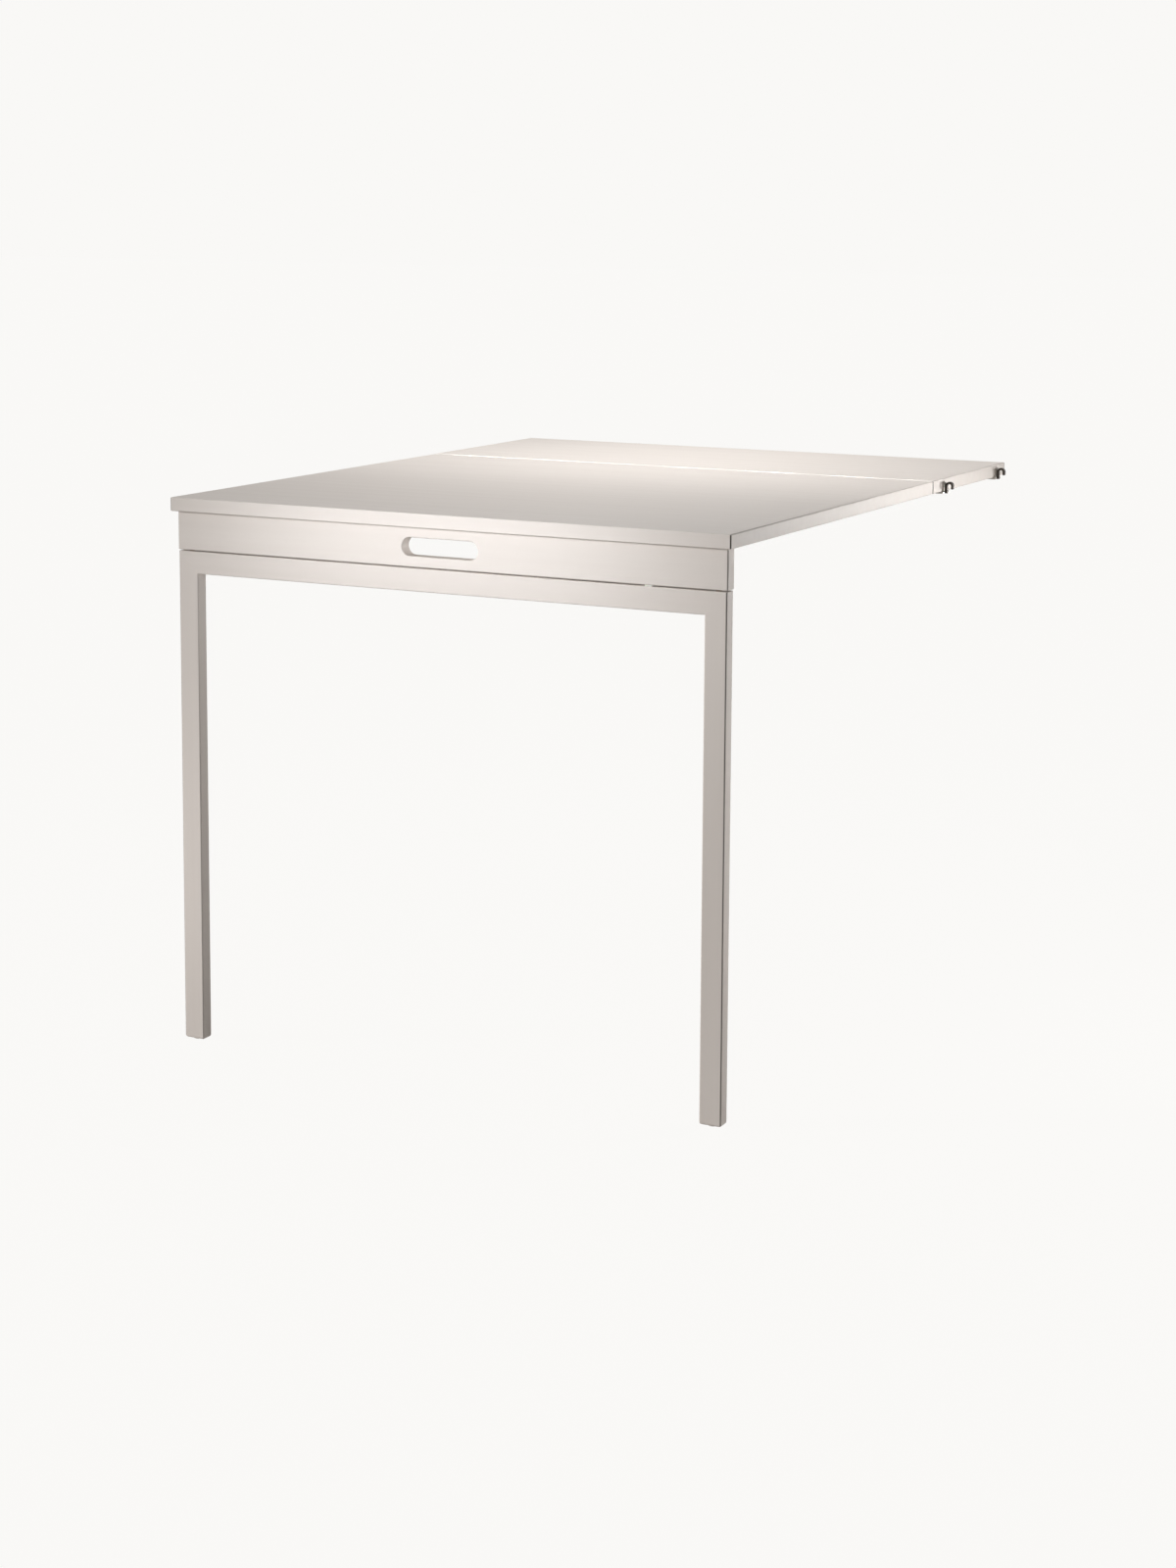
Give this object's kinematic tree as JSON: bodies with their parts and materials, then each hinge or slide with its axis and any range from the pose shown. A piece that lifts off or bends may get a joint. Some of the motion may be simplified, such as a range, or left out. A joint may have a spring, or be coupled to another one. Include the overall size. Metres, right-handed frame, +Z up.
{
  "type": "wall mounted drop leaf table",
  "caption": "Wall mounted drop leaf table: a fixed shelf on side hooks, a hinged leaf with a slotted apron as its handle, and a leg frame that folds up under the leaf.",
  "frame": {"origin": "floor level, at the middle of the width and of the depth of the opened table", "axes": "+X to the right along the width, +Y from the front edge towards the wall, +Z up"},
  "size_m": [0.8078, 0.972, 0.71],
  "materials": {
    "lacquered_wood": "satin beige lacquer",
    "hook_steel": "plated",
    "hinge_steel": "plated",
    "screw_steel": "plated",
    "beech": "raw",
    "rubber": "translucent",
    "nylon": "matte"
  },
  "bodies": {
    "shelf": {"shelf_board": "lacquered_wood", "hook_left_front": "hook_steel", "hook_left_rear": "hook_steel", "hook_right_front": "hook_steel", "hook_right_rear": "hook_steel", "hook_screws": "screw_steel", "shelf_hinge_plate_left": "hinge_steel", "shelf_hinge_plate_centre": "hinge_steel", "shelf_hinge_plate_right": "hinge_steel", "leaf_hinge_pins": "hinge_steel", "shelf_hinge_screws": "screw_steel"},
    "leaf": {"leaf_board": "lacquered_wood", "apron": "lacquered_wood", "apron_dowels": "beech", "leaf_hinge_plate_left": "hinge_steel", "leaf_hinge_plate_centre": "hinge_steel", "leaf_hinge_plate_right": "hinge_steel", "leaf_hinge_screws": "screw_steel", "apron_hinge_plate_left": "hinge_steel", "apron_hinge_plate_right": "hinge_steel", "apron_hinge_screws": "screw_steel", "leg_hinge_pins": "hinge_steel", "gap_bumper": "rubber", "leg_rest_left": "rubber", "leg_rest_right": "rubber"},
    "leg_frame": {"left_leg": "lacquered_wood", "right_leg": "lacquered_wood", "leg_rail": "lacquered_wood", "corner_dowels": "beech", "leg_hinge_plate_left": "hinge_steel", "leg_hinge_plate_right": "hinge_steel", "leg_hinge_screws": "screw_steel", "foot_glide_left": "nylon", "foot_glide_right": "nylon"}
  },
  "joints": [
    {"name": "leaf_fold", "type": "hinge", "parent": "shelf", "child": "leaf", "pos_m": [0, 0.1855, 0.689], "axis": [1, 0, 0], "range_deg": [0, 90]},
    {"name": "leg_fold", "type": "hinge", "parent": "leaf", "child": "leg_frame", "pos_m": [0, -0.4575, 0.64175], "axis": [1, 0, 0], "range_deg": [0, 94.5]}
  ]
}
